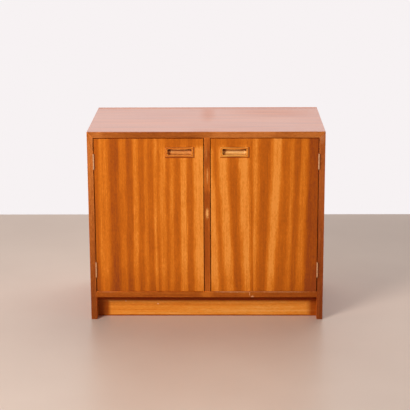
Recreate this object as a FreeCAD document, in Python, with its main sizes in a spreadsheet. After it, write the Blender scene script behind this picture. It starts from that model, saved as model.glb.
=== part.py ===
import FreeCAD, Part
import math
import os
import re
import Sketcher

# Two-door record cabinet: a mitred case of lipped and veneered boards, two inset
# doors on butt hinges with let-in pulls, record partitions under a fixed shelf in
# each bay, magnetic catches and a set-back plinth. Millimetres. +X right, the
# doors face -Y, +Z up, and the origin is on the floor under the case's centre.

document = FreeCAD.newDocument("record_cabinet")
sheet = document.addObject("Spreadsheet::Sheet", "sizes")

# ---------------------------------------------------------------- driving sizes
DRIVING = {
    # case
    "case_width": 762,
    "case_height": 630,
    "case_depth": 432,
    "board_thick": 19,
    "lipping_thick": 6,
    "divider_offset": 3,
    "base_height": 77,
    "back_thick": 6,
    "rebate_width": 9,
    "back_play": 0.5,
    # plinth
    "plinth_recess": 37,
    "plinth_thick": 19,
    "block_leg": 24,
    "block_nose": 3,
    "block_length": 60,
    "block_inset": 92,
    # joinery
    "tongue_thick": 4,
    "tongue_width": 14,
    "tongue_stop": 30,
    "housing_depth": 6,
    "shelf_housing": 5,
    # shelves and record partitions
    "shelf_thick": 15,
    "record_height": 340,
    "shelf_setback": 20,
    "partition_thick": 6,
    "partition_setback": 12,
    "groove_depth": 3,
    # doors
    "door_thick": 19,
    "door_lipping": 5,
    "top_gap": 2.5,
    "bottom_gap": 1.5,
    "meeting_gap": 2.5,
    # butt hinges
    "hinge_length": 51,
    "hinge_inset": 49,
    "knuckle_radius": 2.5,
    "knuckle_play": 0.2,
    "knuckle_standoff": 0.3,
    "pin_radius": 1.25,
    "pin_play": 0.05,
    "leaf_thick": 1.2,
    "leaf_play": 0.1,
    "leaf_width": 20,
    "leaf_clearance": 0.4,
    # small screws of the hinges, catches and strike plates
    "screw_radius": 1.4,
    "screw_length": 14,
    "screw_head_radius": 2.6,
    "screw_spacing": 32,
    "screw_setback": 12,
    # back panel screws
    "back_screw_radius": 1.6,
    "back_screw_head_radius": 3.2,
    "back_screw_length": 20,
    # pulls
    "pull_width": 90,
    "pull_height": 31,
    "pull_proud": 2.5,
    "pull_bow": 1.2,
    "pull_corner": 2.2,
    "pull_drop": 28,
    "pull_inset": 31,
    "tenon_width": 84,
    "tenon_height": 27,
    "tenon_depth": 14.5,
    "tenon_corner": 4,
    "mouth_width": 77,
    "mouth_height": 21,
    "mouth_top_corner": 3.5,
    "mouth_bottom_corner": 7,
    "lip_dip": 2.6,
    "cup_depth": 14,
    "sole_chamfer": 2.2,
    "cup_undercut": 1.2,
    "lip_thick": 3.5,
    "groove_radius": 5.5,
    "groove_length": 66,
    # magnetic catches and strike plates
    "catch_width": 46,
    "catch_depth": 16,
    "catch_flange": 3,
    "catch_block_width": 28,
    "catch_block_height": 18,
    "catch_inset": 14,
    "catch_drop": 12,
    "catch_screw_spacing": 37,
    "pole_thick": 1.6,
    "pole_height": 10,
    "pole_depth": 13,
    "pole_proud": 1,
    "pole_spacing": 16,
    "strike_width": 34,
    "strike_height": 12,
    "strike_thick": 1.2,
}

# Sizes worked out from the driving ones.
WORKED_OUT = {
    "half_width": "case_width / 2",
    "inner_half": "case_width / 2 - board_thick",
    "front_y": "-case_depth / 2",
    "back_y": "case_depth / 2",
    "board_front": "front_y + lipping_thick",
    "board_back": "back_y - back_thick",
    "board_depth": "board_back - board_front",
    "bottom_top": "base_height + board_thick",
    "top_under": "case_height - board_thick",
    "opening_height": "top_under - bottom_top",
    "divider_left": "divider_offset - board_thick / 2",
    "divider_right": "divider_offset + board_thick / 2",
    "left_bay": "inner_half + divider_left",
    "right_bay": "inner_half - divider_right",
    "hinge_gap": "2 * leaf_thick + leaf_play",
    "pin_y": "front_y - knuckle_standoff - knuckle_radius",
    "knuckle_height": "(hinge_length - 2 * knuckle_play) / 3",
    "knuckle_pitch": "knuckle_height + knuckle_play",
    "door_bottom": "bottom_top + bottom_gap",
    "door_height": "opening_height - top_gap - bottom_gap",
    "door_back": "front_y + door_thick",
    "lower_hinge_z": "door_bottom + hinge_inset + hinge_length / 2",
    "upper_hinge_z": "door_bottom + door_height - hinge_inset - hinge_length / 2",
    "shelf_bottom": "bottom_top + record_height",
    "shelf_front": "door_back + shelf_setback",
    "partition_front": "shelf_front + partition_setback",
    "plinth_front": "front_y + plinth_recess",
    "plinth_back": "plinth_front + plinth_thick",
    "rail_front": "board_back - plinth_thick",
    "block_spacing": "inner_half - block_inset",
    "strike_z": "top_under - catch_drop",
    "pull_z": "door_bottom + door_height - pull_drop - pull_height / 2",
}

ALIAS = re.compile(r"[a-z][a-z_]*[a-z]")


def sized(expression):
    """An expression with each size's name pointed at its cell in the sheet."""
    known = DRIVING.keys() | WORKED_OUT.keys()
    return ALIAS.sub(lambda word: "sizes." * (word.group() in known) + word.group(), expression)


def size(expression):
    """The present value of an expression of sizes."""
    return float(document.getObject("sizes").evalExpression(expression))


def fill_sheet():
    """Driving sizes in columns A and B, the ones worked out from them in D and E."""
    for row, (alias, value) in enumerate(DRIVING.items(), start=1):
        sheet.set(f"A{row}", alias.replace("_", " "))
        sheet.set(f"B{row}", str(value))
        sheet.setAlias(f"B{row}", alias)
    for row, (alias, formula) in enumerate(WORKED_OUT.items(), start=1):
        sheet.set(f"D{row}", alias.replace("_", " "))
        sheet.set(f"E{row}", "=" + formula)
        sheet.setAlias(f"E{row}", alias)
    document.recompute()


fill_sheet()

# ------------------------------------------------------------- building helpers
subparts = []


def keep(thing, label):
    """Marks an object as a sub-part that is written out under its label."""
    thing.Label = label
    subparts.append(thing)
    return thing


def bind(thing, **expressions):
    for name, expression in expressions.items():
        thing.setExpression(name, sized(expression))


def put(thing, x, y, z, rotation=None):
    if rotation:
        thing.Placement = FreeCAD.Placement(FreeCAD.Vector(), rotation)
    for letter, expression in zip("xyz", (x, y, z)):
        thing.setExpression(f"Placement.Base.{letter}", sized(str(expression)))
    return thing


def turn(x, y, z, angle):
    return FreeCAD.Rotation(FreeCAD.Vector(x, y, z), angle)


def box(name, x, y, z, length, depth, height):
    """A box from its lowest corner and its sizes along X, Y and Z."""
    block = document.addObject("Part::Box", name)
    bind(block, Length=length, Width=depth, Height=height)
    return put(block, x, y, z)


def inward(side, distance):
    """X at a distance inward from the inner face of the case's left or right side."""
    if side == "left":
        return f"-inner_half + ({distance})"
    return f"inner_half - ({distance})"


def bay_box(name, side, near, far, y, z, depth, height):
    """A box between two distances inward from the inner face of a side board."""
    start = inward(side, near if side == "left" else far)
    return box(name, start, y, z, f"({far}) - ({near})", depth, height)


def cut(name, base, *tools):
    """The base less its tools, one cut after another."""
    for number, tool in enumerate(tools, start=1):
        result = document.addObject("Part::Cut", f"{name}_cut_{number}")
        result.Base = base
        result.Tool = tool
        base = result
    return base


def group(name, things):
    """Separate solids that go by one name."""
    compound = document.addObject("Part::Compound", name)
    compound.Links = things
    return compound


def copies(name, master, places):
    """Copies of one piece, each at its own place: x, y, z and rotation."""
    links = []
    for number, (x, y, z, rotation) in enumerate(places, start=1):
        link = document.addObject("App::Link", f"{name}_{number}")
        link.LinkedObject = master
        links.append(put(link, x, y, z, rotation))
    return group(name, links)


def new_body(name):
    return document.addObject("PartDesign::Body", name)


def new_sketch(body, name, plane, offset="0"):
    """A sketch on one of the body's own origin planes, moved along its normal."""
    sketch = body.newObject("Sketcher::SketchObject", name)
    support = next(item for item in body.Origin.OriginFeatures if item.Role == plane)
    sketch.AttachmentSupport = [(support, "")]
    sketch.MapMode = "FlatFace"
    sketch.setExpression("AttachmentOffset.Base.z", sized(offset))
    return sketch


def measure(sketch, kind, *refs, to):
    """A dimension of a sketch, bound to an expression of sizes."""
    number = sketch.addConstraint(Sketcher.Constraint(kind, *refs, size(to)))
    sketch.setExpression(f"Constraints[{number}]", sized(to))


def relate(sketch, kind, *refs):
    sketch.addConstraint(Sketcher.Constraint(kind, *refs))


def add_line(sketch, start, end):
    ends = FreeCAD.Vector(*start, 0), FreeCAD.Vector(*end, 0)
    return sketch.addGeometry(Part.LineSegment(*ends), False)


def add_arc(sketch, centre, radius, start, end):
    """An arc that runs counter-clockwise between two angles in degrees."""
    circle = Part.Circle(FreeCAD.Vector(*centre, 0), FreeCAD.Vector(0, 0, 1), radius)
    arc = Part.ArcOfCircle(circle, math.radians(start), math.radians(end))
    return sketch.addGeometry(arc, False)


def add_pad(body, sketch, length, reverse=False):
    pad = body.newObject("PartDesign::Pad", sketch.Name + "_pad")
    pad.Profile = sketch
    pad.Reversed = reverse
    bind(pad, Length=length)
    return pad


def bow_radius(half_chord, bow):
    """The radius of an arc over a chord, from half the chord and the arc's rise."""
    return f"(({half_chord}) ^ 2 + ({bow}) ^ 2) / (2 * ({bow}))"


def dress_edges(body, kind, name, wanted, **sizes):
    """A fillet or a chamfer on each edge of the body that the test function picks."""
    document.recompute()
    tip = body.Tip
    names = [f"Edge{number}" for number, edge in enumerate(tip.Shape.Edges, 1) if wanted(edge)]
    dressing = body.newObject("PartDesign::" + kind, name)
    dressing.Base = (tip, names)
    bind(dressing, **sizes)
    document.recompute()


# ----------------------------------------------------------------------- screws
def frustum(name, wide, narrow, rotation):
    """A four-sided frustum from its wide end at z = 0 down to its narrow end at 45 degrees."""
    part = document.addObject("Part::Wedge", name)
    drop = f"{wide} - {narrow}"
    bind(part, Ymin="0", Ymax=drop, Xmin=f"-{wide}", Xmax=wide, Zmin=f"-{wide}", Zmax=wide,
         X2min=f"-{narrow}", X2max=narrow, Z2min=f"-{narrow}", Z2max=narrow)
    return put(part, "0", "0", "0", rotation.multiply(turn(1, 0, 0, -90)))


def wood_screw(name, radius, head_radius, length):
    """A countersunk wood screw with its head at z = 0, drawn with eight flat sides."""
    head = document.addObject("Part::Common", name + "_head")
    head.Base = frustum(name + "_head_square", head_radius, radius, turn(0, 0, 1, 0))
    head.Tool = frustum(name + "_head_diamond", head_radius, radius, turn(0, 0, 1, 45))
    shank = document.addObject("Part::Prism", name + "_shank")
    shank.Polygon = 8
    bind(shank, Circumradius=f"{radius} / cos(22.5)", Height=f"{length} + {radius} - {head_radius}")
    put(shank, "0", "0", f"-{length}", turn(0, 0, 1, 22.5))
    screw = document.addObject("Part::Fuse", name)
    screw.Base = head
    screw.Tool = shank
    return screw


small_screw = wood_screw("small_screw", "screw_radius", "screw_head_radius", "screw_length")
back_screw = wood_screw("back_screw", "back_screw_radius", "back_screw_head_radius", "back_screw_length")

INTO_RIGHT = turn(0, 1, 0, -90)
INTO_LEFT = turn(0, 1, 0, 90)
INTO_FRONT = turn(1, 0, 0, -90)
INTO_TOP = turn(1, 0, 0, 180)


# ------------------------------------------------------------------- butt hinge
def hinge_leaf(name, knuckles, first, bore):
    """A leaf with its plate on the +X side of the pin and rolled knuckles along Z."""
    body = new_body(name)
    start = "knuckle_radius + leaf_clearance"
    inner = "leaf_play / 2"
    outer = "leaf_play / 2 + leaf_thick"

    plate = new_sketch(body, name + "_plate", "YZ_Plane", inner)
    low, high = (size(start), -size("hinge_length") / 2), (size("leaf_width"), size("hinge_length") / 2)
    corners = [low, (high[0], low[1]), high, (low[0], high[1])]
    for number, corner in enumerate(corners):
        add_line(plate, corner, corners[(number + 1) % 4])
    for number in range(4):
        relate(plate, "Coincident", number, 2, (number + 1) % 4, 1)
    relate(plate, "Horizontal", 0)
    relate(plate, "Vertical", 1)
    relate(plate, "Horizontal", 2)
    relate(plate, "Symmetric", 0, 1, 3, 1, -1)
    measure(plate, "DistanceX", -1, 1, 0, 1, to=start)
    measure(plate, "DistanceX", -1, 1, 0, 2, to="leaf_width")
    measure(plate, "DistanceY", 1, 1, 1, 2, to="hinge_length")
    add_pad(body, plate, "leaf_thick")

    roll = new_sketch(body, name + "_roll", "XY_Plane", f"-hinge_length / 2 + {first} * knuckle_pitch")
    radius, near, far = size("knuckle_radius"), size(inner), size(outer)
    root = size(start) + size("leaf_thick")
    angles = math.degrees(math.acos(near / radius)), math.degrees(math.acos(far / radius))
    add_arc(roll, (0, 0), radius, angles[0], 360 + angles[1])
    add_line(roll, (far, math.sqrt(radius ** 2 - far ** 2)), (far, root))
    add_line(roll, (far, root), (near, root))
    add_line(roll, (near, root), (near, math.sqrt(radius ** 2 - near ** 2)))
    circle = Part.Circle(FreeCAD.Vector(), FreeCAD.Vector(0, 0, 1), size(bore))
    roll.addGeometry(circle, False)
    for number in range(4):
        relate(roll, "Coincident", number, 2, (number + 1) % 4, 1)
    relate(roll, "Coincident", 0, 3, -1, 1)
    relate(roll, "Coincident", 4, 3, -1, 1)
    relate(roll, "Vertical", 1)
    relate(roll, "Horizontal", 2)
    relate(roll, "Vertical", 3)
    measure(roll, "Radius", 0, to="knuckle_radius")
    measure(roll, "Radius", 4, to=bore)
    measure(roll, "DistanceX", -1, 1, 3, 1, to=inner)
    measure(roll, "DistanceX", -1, 1, 1, 1, to=outer)
    measure(roll, "DistanceY", -1, 1, 2, 1, to=f"{start} + leaf_thick")
    knuckle = add_pad(body, roll, "knuckle_height")
    document.recompute()
    if knuckles == 1:
        return body

    row = body.newObject("PartDesign::LinearPattern", name + "_knuckles")
    row.Originals = [knuckle]
    row.Direction = (roll, ["N_Axis"])
    row.Occurrences = knuckles
    bind(row, Length=f"{2 * (knuckles - 1)} * knuckle_pitch")
    body.Tip = row
    return body


pin = document.addObject("Part::Cylinder", "hinge_pin")
bind(pin, Radius="pin_radius", Height="hinge_length")
FLIPPED = turn(0, 1, 0, 180)
LEVELS = {"upper": "upper_hinge_z", "lower": "lower_hinge_z"}


def leaf_screw_places(side, carrier):
    """Two screws through each leaf on one side: into the case's side or into the door."""
    outward = -1 if carrier == "frame" else 1
    heading = INTO_RIGHT if (side == "right") == (carrier == "frame") else INTO_LEFT
    places = []
    for level in LEVELS.values():
        for row in (-1, 1):
            x = inward(side, f"hinge_gap / 2 + {outward} * leaf_play / 2")
            z = f"{level} + {row} * screw_spacing / 2"
            places.append((x, "pin_y + screw_setback", z, heading))
    return places


frame_screw_places = leaf_screw_places("left", "frame") + leaf_screw_places("right", "frame")
frame_screws = keep(copies("frame_screw_set", small_screw, frame_screw_places), "frame_leaf_screws")
door_screws = {}
for side in ("left", "right"):
    screws = copies(f"{side}_door_screw_set", small_screw, leaf_screw_places(side, "door"))
    door_screws[side] = keep(screws, f"{side}_door_leaf_screws")

for side in ("left", "right"):
    pins = []
    for level, height in LEVELS.items():
        place = inward(side, "hinge_gap / 2"), "pin_y", height
        frame_leaf = hinge_leaf(f"{side}_{level}_frame_roll", 2, 0, "pin_radius")
        door_leaf = hinge_leaf(f"{side}_{level}_door_roll", 1, 1, "pin_radius + pin_play")
        put(frame_leaf, *place, FLIPPED if side == "left" else None)
        put(door_leaf, *place, FLIPPED if side == "right" else None)
        keep(cut(f"{side}_{level}_frame", frame_leaf, frame_screws), f"{side}_{level}_frame_leaf")
        keep(cut(f"{side}_{level}_door", door_leaf, door_screws[side]), f"{side}_{level}_door_leaf")
        pins.append((place[0], place[1], f"{height} - hinge_length / 2", None))
    keep(copies(f"{side}_pins", pin, pins), f"{side}_hinge_pins")


# ------------------------------------------------------- catches, strike plates
def magnetic_catch(side):
    """A flanged block under the top, near the divider, with two steel pole plates."""
    bay = f"{side}_bay"
    front = "door_back + strike_thick"
    middle = f"{bay} - catch_inset - catch_width / 2"
    flange = bay_box(f"{side}_catch_flange", side, f"{middle} - catch_width / 2",
                     f"{middle} + catch_width / 2", f"{front} + pole_proud",
                     "top_under - catch_flange", "catch_depth", "catch_flange")
    block = bay_box(f"{side}_catch_block", side, f"{middle} - catch_block_width / 2",
                    f"{middle} + catch_block_width / 2", f"{front} + pole_proud",
                    "top_under - catch_block_height", "catch_depth", "catch_block_height")
    whole = document.addObject("Part::Fuse", f"{side}_catch_whole")
    whole.Base = flange
    whole.Tool = block
    poles = []
    for row in (-1, 1):
        pole_middle = f"{middle} + {row} * pole_spacing / 2"
        poles.append(bay_box(f"{side}_pole_{row + 1}", side, f"{pole_middle} - pole_thick / 2",
                             f"{pole_middle} + pole_thick / 2", front,
                             "strike_z - pole_height / 2", "pole_depth", "pole_height"))
    screws = []
    for row in (-1, 1):
        x = inward(side, f"{middle} + {row} * catch_screw_spacing / 2")
        screws.append((x, f"{front} + pole_proud + catch_depth / 2", "top_under - catch_flange", INTO_TOP))
    return whole, poles, screws, middle


catches = {side: magnetic_catch(side) for side in ("left", "right")}
all_poles = catches["left"][1] + catches["right"][1]
poles = keep(group("pole_set", all_poles), "catch_pole_plates")
catch_screw_places = catches["left"][2] + catches["right"][2]
catch_screws = keep(copies("catch_screw_set", small_screw, catch_screw_places), "catch_screws")
for side, (whole, _, _, _) in catches.items():
    keep(cut(f"{side}_catch", whole, poles, catch_screws), f"{side}_catch_body")

strike_screws = {}
for side, (_, _, _, middle) in catches.items():
    place = [(inward(side, middle), "door_back + strike_thick", "strike_z", INTO_FRONT)]
    strike_screws[side] = keep(copies(f"{side}_strike_screw_set", small_screw, place), f"{side}_strike_screw")
    plate = bay_box(f"{side}_strike_blank", side, f"{middle} - strike_width / 2",
                    f"{middle} + strike_width / 2", "door_back", "strike_z - strike_height / 2",
                    "strike_thick", "strike_height")
    keep(cut(f"{side}_strike", plate, strike_screws[side]), f"{side}_strike_plate")


# ------------------------------------------------- shelves and record partitions
partitions = {}
for side in ("left", "right"):
    partitions[side] = []
    for number in (1, 2):
        middle = f"{number} * {side}_bay / 3"
        partition = bay_box(f"{side}_partition_{number}", side, f"{middle} - partition_thick / 2",
                            f"{middle} + partition_thick / 2", "partition_front",
                            "bottom_top - groove_depth", "board_back - partition_front",
                            "record_height + 2 * groove_depth")
        partitions[side].append(keep(partition, f"{side}_record_partition_{number}"))
partition_set = group("partition_set", partitions["left"] + partitions["right"])

shelf_boards = {}
for side in ("left", "right"):
    shelf = bay_box(f"{side}_shelf_board", side, "-shelf_housing", f"{side}_bay + shelf_housing",
                    "shelf_front + lipping_thick", "shelf_bottom",
                    "board_back - shelf_front - lipping_thick", "shelf_thick")
    shelf_boards[side] = shelf
    keep(cut(f"{side}_shelf", shelf, partition_set), f"{side}_shelf")
    lipping = bay_box(f"{side}_shelf_edge", side, "0", f"{side}_bay", "shelf_front",
                      "shelf_bottom", "lipping_thick", "shelf_thick")
    keep(lipping, f"{side}_shelf_lipping")


# ------------------------------------------------------------------------- case
def mitred_top(name, y, depth):
    """A board across the top whose ends are cut at 45 degrees to meet the sides."""
    board = document.addObject("Part::Wedge", name)
    bind(board, Xmin="-inner_half", Xmax="inner_half", X2min="-half_width", X2max="half_width",
         Ymin="0", Ymax="board_thick", Zmin="0", Zmax=depth, Z2min="0", Z2max=depth)
    return put(board, "0", f"{y} + {depth}", "top_under", turn(1, 0, 0, 90))


def mitred_side(name, side, y, depth):
    """A board that stands on the floor and is mitred at its upper end."""
    board = document.addObject("Part::Wedge", name)
    bind(board, Xmin="0", Xmax=depth, X2min="0", X2max=depth, Ymin="0", Ymax="board_thick",
         Zmin="0", Zmax="case_height", Z2min="0", Z2max="top_under")
    if side == "left":
        return put(board, "-half_width", f"{y} + {depth}", "0", turn(0, 0, 1, -90))
    return put(board, "half_width", y, "0", turn(0, 0, 1, 90))


def mitre_tongue(name, side):
    """A loose tongue across the middle of a mitre, square to the glued faces."""
    tongue = document.addObject("Part::Box", name)
    bind(tongue, Length="tongue_width", Width="board_depth - 2 * tongue_stop", Height="tongue_thick")
    # The tongue runs at 45 degrees, so its lowest corner is found from the mitre's middle.
    along = "tongue_width / 2 * sqrt(0.5)"
    across = "tongue_thick / 2 * sqrt(0.5)"
    if side == "left":
        x = f"-half_width + board_thick / 2 - {along} - {across}"
        z = f"case_height - board_thick / 2 + {along} - {across}"
        return put(tongue, x, "board_front + tongue_stop", z, turn(0, 1, 0, 45))
    x = f"half_width - board_thick / 2 - {along} + {across}"
    z = f"case_height - board_thick / 2 - {along} - {across}"
    return put(tongue, x, "board_front + tongue_stop", z, turn(0, 1, 0, -45))


tongues = keep(group("tongue_set", [mitre_tongue("left_tongue", "left"), mitre_tongue("right_tongue", "right")]),
               "mitre_tongues")
rebate = box("rebate", "-inner_half - rebate_width", "board_back", "-base_height",
             "2 * (inner_half + rebate_width)", "2 * back_thick", "base_height + top_under + rebate_width")


def back_screw_places():
    """Screws through the back panel into the rebates, the bottom and the divider."""
    places = []
    edge = "(inner_half + rebate_width / 2)"
    for column in (-1, 0, 1):
        x = f"{column} * case_width / 3"
        places.append((x, "back_y", "top_under + rebate_width / 2", INTO_FRONT))
        places.append((x, "back_y", "base_height + board_thick / 2", INTO_FRONT))
        height = f"case_height / 2 + {column} * case_height / 4"
        places.append((f"-{edge}", "back_y", height, INTO_FRONT))
        places.append((edge, "back_y", height, INTO_FRONT))
    for row in (-1, 1):
        height = f"bottom_top + opening_height / 2 + {row} * opening_height / 4"
        places.append(("divider_offset", "back_y", height, INTO_FRONT))
    return places


back_screws = keep(copies("back_screw_set", back_screw, back_screw_places()), "back_panel_screws")
back = box("back_board", "-inner_half - rebate_width + back_play", "board_back", "base_height",
           "2 * (inner_half + rebate_width - back_play)", "back_thick",
           "top_under + rebate_width - back_play - base_height")
keep(cut("back", back, back_screws), "back_panel")

# The bottom is housed in the sides, and the divider in the top and the bottom: each
# board runs into a groove that its own blank cuts, and the lippings cover the ends.
bottom = box("bottom_board", "-inner_half - housing_depth", "board_front", "base_height",
             "2 * (inner_half + housing_depth)", "board_depth", "board_thick")
divider = box("divider_board", "divider_left", "board_front", "bottom_top - housing_depth",
              "board_thick", "board_depth", "opening_height + 2 * housing_depth")

top = mitred_top("top_board", "board_front", "back_y - board_front")
keep(cut("top", top, rebate, tongues, divider, back_screws, catch_screws), "top_panel")
keep(mitred_top("top_edge", "front_y", "lipping_thick"), "top_lipping")
for side in ("left", "right"):
    board = mitred_side(f"{side}_side_board", side, "board_front", "back_y - board_front")
    keep(cut(f"{side}_side", board, rebate, tongues, bottom, shelf_boards[side], back_screws, frame_screws),
         f"{side}_side_panel")
    keep(mitred_side(f"{side}_side_edge", side, "front_y", "lipping_thick"), f"{side}_side_lipping")

keep(cut("bottom", bottom, divider, partition_set, back_screws), "bottom_panel")
keep(box("bottom_edge", "-inner_half", "front_y", "base_height",
         "2 * inner_half", "lipping_thick", "board_thick"), "bottom_lipping")
keep(cut("divider", divider, shelf_boards["left"], shelf_boards["right"], back_screws), "centre_divider")
keep(box("divider_edge", "divider_left", "front_y", "bottom_top",
         "board_thick", "lipping_thick", "opening_height"), "divider_lipping")

# ----------------------------------------------------------------------- plinth
for name, y in (("plinth_board", "plinth_front"), ("rear_plinth_rail", "rail_front")):
    keep(box(name + "_blank", "-inner_half", y, "0", "2 * inner_half", "plinth_thick", "base_height"), name)

# A glue block fills the corner behind the plinth and under the bottom: a prism
# that narrows downward from a full leg to a blunt nose.
block = document.addObject("Part::Wedge", "glue_block")
bind(block, Xmin="-block_length / 2", Xmax="block_length / 2", X2min="-block_length / 2",
     X2max="block_length / 2", Ymin="0", Ymax="block_leg", Zmin="-block_nose", Zmax="0",
     Z2min="-block_leg", Z2max="0")
block_places = []
for column in (-1, 0, 1):
    x = f"{column} * block_spacing"
    behind = turn(1, 0, 0, 90)
    block_places.append((x, "plinth_back", "base_height - block_leg", behind))
    block_places.append((x, "rail_front", "base_height - block_leg", turn(0, 0, 1, 180).multiply(behind)))
keep(copies("block_set", block, block_places), "plinth_glue_blocks")


# ------------------------------------------------------------------------ pulls
def tenon_outline(body, name):
    """A rounded rectangle on the plane of the door's face."""
    sketch = new_sketch(body, name, "XZ_Plane")
    right, top, bend = size("tenon_width") / 2, size("tenon_height") / 2, size("tenon_corner")
    add_line(sketch, (-right + bend, -top), (right - bend, -top))
    add_arc(sketch, (right - bend, -top + bend), bend, 270, 360)
    add_line(sketch, (right, -top + bend), (right, top - bend))
    add_arc(sketch, (right - bend, top - bend), bend, 0, 90)
    add_line(sketch, (right - bend, top), (-right + bend, top))
    add_arc(sketch, (-right + bend, top - bend), bend, 90, 180)
    add_line(sketch, (-right, top - bend), (-right, -top + bend))
    add_arc(sketch, (-right + bend, -top + bend), bend, 180, 270)
    for number in range(8):
        relate(sketch, "Tangent", number, 2, (number + 1) % 8, 1)
    for number in (3, 5, 7):
        relate(sketch, "Equal", 1, number)
    relate(sketch, "Symmetric", 0, 1, 0, 2, -2)
    relate(sketch, "Symmetric", 2, 1, 2, 2, -1)
    relate(sketch, "Horizontal", 4)
    relate(sketch, "Vertical", 6)
    measure(sketch, "Radius", 1, to="tenon_corner")
    measure(sketch, "DistanceX", 6, 2, 2, 1, to="tenon_width")
    measure(sketch, "DistanceY", 0, 2, 4, 1, to="tenon_height")
    return sketch


def plate_outline(body):
    """The pull's face: a rectangle whose four sides bow inward between its corners."""
    sketch = new_sketch(body, body.Name + "_plate", "XZ_Plane")
    right, top = size("pull_width") / 2, size("pull_height") / 2
    long_bend = bow_radius("pull_width / 2", "pull_bow")
    short_bend = bow_radius("pull_height / 2", "pull_bow / 2")
    long_radius, short_radius = size(long_bend), size(short_bend)
    long_lean = math.degrees(math.asin(right / long_radius))
    short_lean = math.degrees(math.asin(top / short_radius))
    long_centre = top - size("pull_bow") + long_radius
    short_centre = right - size("pull_bow") / 2 + short_radius
    add_arc(sketch, (0, long_centre), long_radius, 270 - long_lean, 270 + long_lean)
    add_arc(sketch, (short_centre, 0), short_radius, 180 - short_lean, 180 + short_lean)
    add_arc(sketch, (0, -long_centre), long_radius, 90 - long_lean, 90 + long_lean)
    add_arc(sketch, (-short_centre, 0), short_radius, -short_lean, short_lean)
    for number in range(4):
        relate(sketch, "Coincident", number, 2, (number + 1) % 4, 1)
    relate(sketch, "Symmetric", 0, 1, 0, 2, -2)
    relate(sketch, "Symmetric", 2, 1, 2, 2, -2)
    relate(sketch, "Symmetric", 0, 1, 2, 2, -1)
    relate(sketch, "Equal", 0, 2)
    relate(sketch, "Equal", 1, 3)
    measure(sketch, "Radius", 0, to=long_bend)
    measure(sketch, "Radius", 1, to=short_bend)
    measure(sketch, "DistanceX", 0, 1, 0, 2, to="pull_width")
    measure(sketch, "DistanceY", 2, 1, 0, 2, to="pull_height")
    return sketch


def cup_outline(body, name):
    """The cup's mouth: round lower corners, tight upper ones and a lip that dips between them."""
    sketch = new_sketch(body, name, "XZ_Plane", "pull_proud")
    right, high = size("mouth_width") / 2, size("mouth_height") / 2
    tight, wide = size("mouth_top_corner"), size("mouth_bottom_corner")
    chord = "mouth_width / 2 - mouth_top_corner"
    bend = bow_radius(chord, "lip_dip")
    radius = size(bend)
    lean = math.degrees(math.asin(size(chord) / radius))
    add_line(sketch, (-right + wide, -high), (right - wide, -high))
    add_arc(sketch, (right - wide, -high + wide), wide, 270, 360)
    add_line(sketch, (right, -high + wide), (right, high - tight))
    add_arc(sketch, (right - tight, high - tight), tight, 0, 90)
    add_arc(sketch, (0, high - size("lip_dip") + radius), radius, 270 - lean, 270 + lean)
    add_arc(sketch, (-right + tight, high - tight), tight, 90, 180)
    add_line(sketch, (-right, high - tight), (-right, -high + wide))
    add_arc(sketch, (-right + wide, -high + wide), wide, 180, 270)
    for first, second in ((0, 1), (1, 2), (2, 3), (5, 6), (6, 7), (7, 0)):
        relate(sketch, "Tangent", first, 2, second, 1)
    relate(sketch, "Coincident", 3, 2, 4, 2)
    relate(sketch, "Coincident", 4, 1, 5, 1)
    relate(sketch, "Symmetric", 0, 1, 0, 2, -2)
    relate(sketch, "Vertical", 2)
    relate(sketch, "Vertical", 6)
    relate(sketch, "Vertical", 3, 2, 3, 3)
    relate(sketch, "Vertical", 5, 1, 5, 3)
    relate(sketch, "Horizontal", 3, 2, 5, 1)
    relate(sketch, "Equal", 1, 7)
    relate(sketch, "Equal", 3, 5)
    measure(sketch, "Radius", 1, to="mouth_bottom_corner")
    measure(sketch, "Radius", 3, to="mouth_top_corner")
    measure(sketch, "Radius", 4, to=bend)
    measure(sketch, "DistanceX", 6, 1, 2, 1, to="mouth_width")
    measure(sketch, "DistanceY", 0, 1, -1, 1, to="mouth_height / 2")
    measure(sketch, "DistanceY", -1, 1, 3, 2, to="mouth_height / 2")
    return sketch


def groove_outline(body, name):
    """The end of the round finger groove that runs along the cup behind its lip."""
    sketch = new_sketch(body, name, "YZ_Plane")
    back, level = "lip_thick - pull_proud + groove_radius", "mouth_height / 2 + cup_undercut - groove_radius"
    centre = FreeCAD.Vector(size(back), size(level), 0)
    sketch.addGeometry(Part.Circle(centre, FreeCAD.Vector(0, 0, 1), size("groove_radius")), False)
    measure(sketch, "Radius", 0, to="groove_radius")
    measure(sketch, "DistanceX", -1, 1, 0, 3, to=back)
    measure(sketch, "DistanceY", -1, 1, 0, 3, to=level)
    return sketch


def is_plate_corner(edge):
    """Whether an edge is one of the four short corner edges of the pull's face plate."""
    bounds = edge.BoundBox
    runs_through = abs(bounds.YLength - size("pull_proud")) < 0.001
    return runs_through and bounds.XLength < 0.001 and bounds.ZLength < 0.001


def is_sole_edge(edge):
    """Whether an edge runs round the cup's flat sole, the one under the lip left out."""
    bounds = edge.BoundBox
    on_sole = abs(bounds.Center.y - size("cup_depth - pull_proud")) + bounds.YLength < 0.001
    under_lip = bounds.ZMin > 0 and bounds.XLength > size("mouth_width / 2")
    return on_sole and not under_lip


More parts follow.
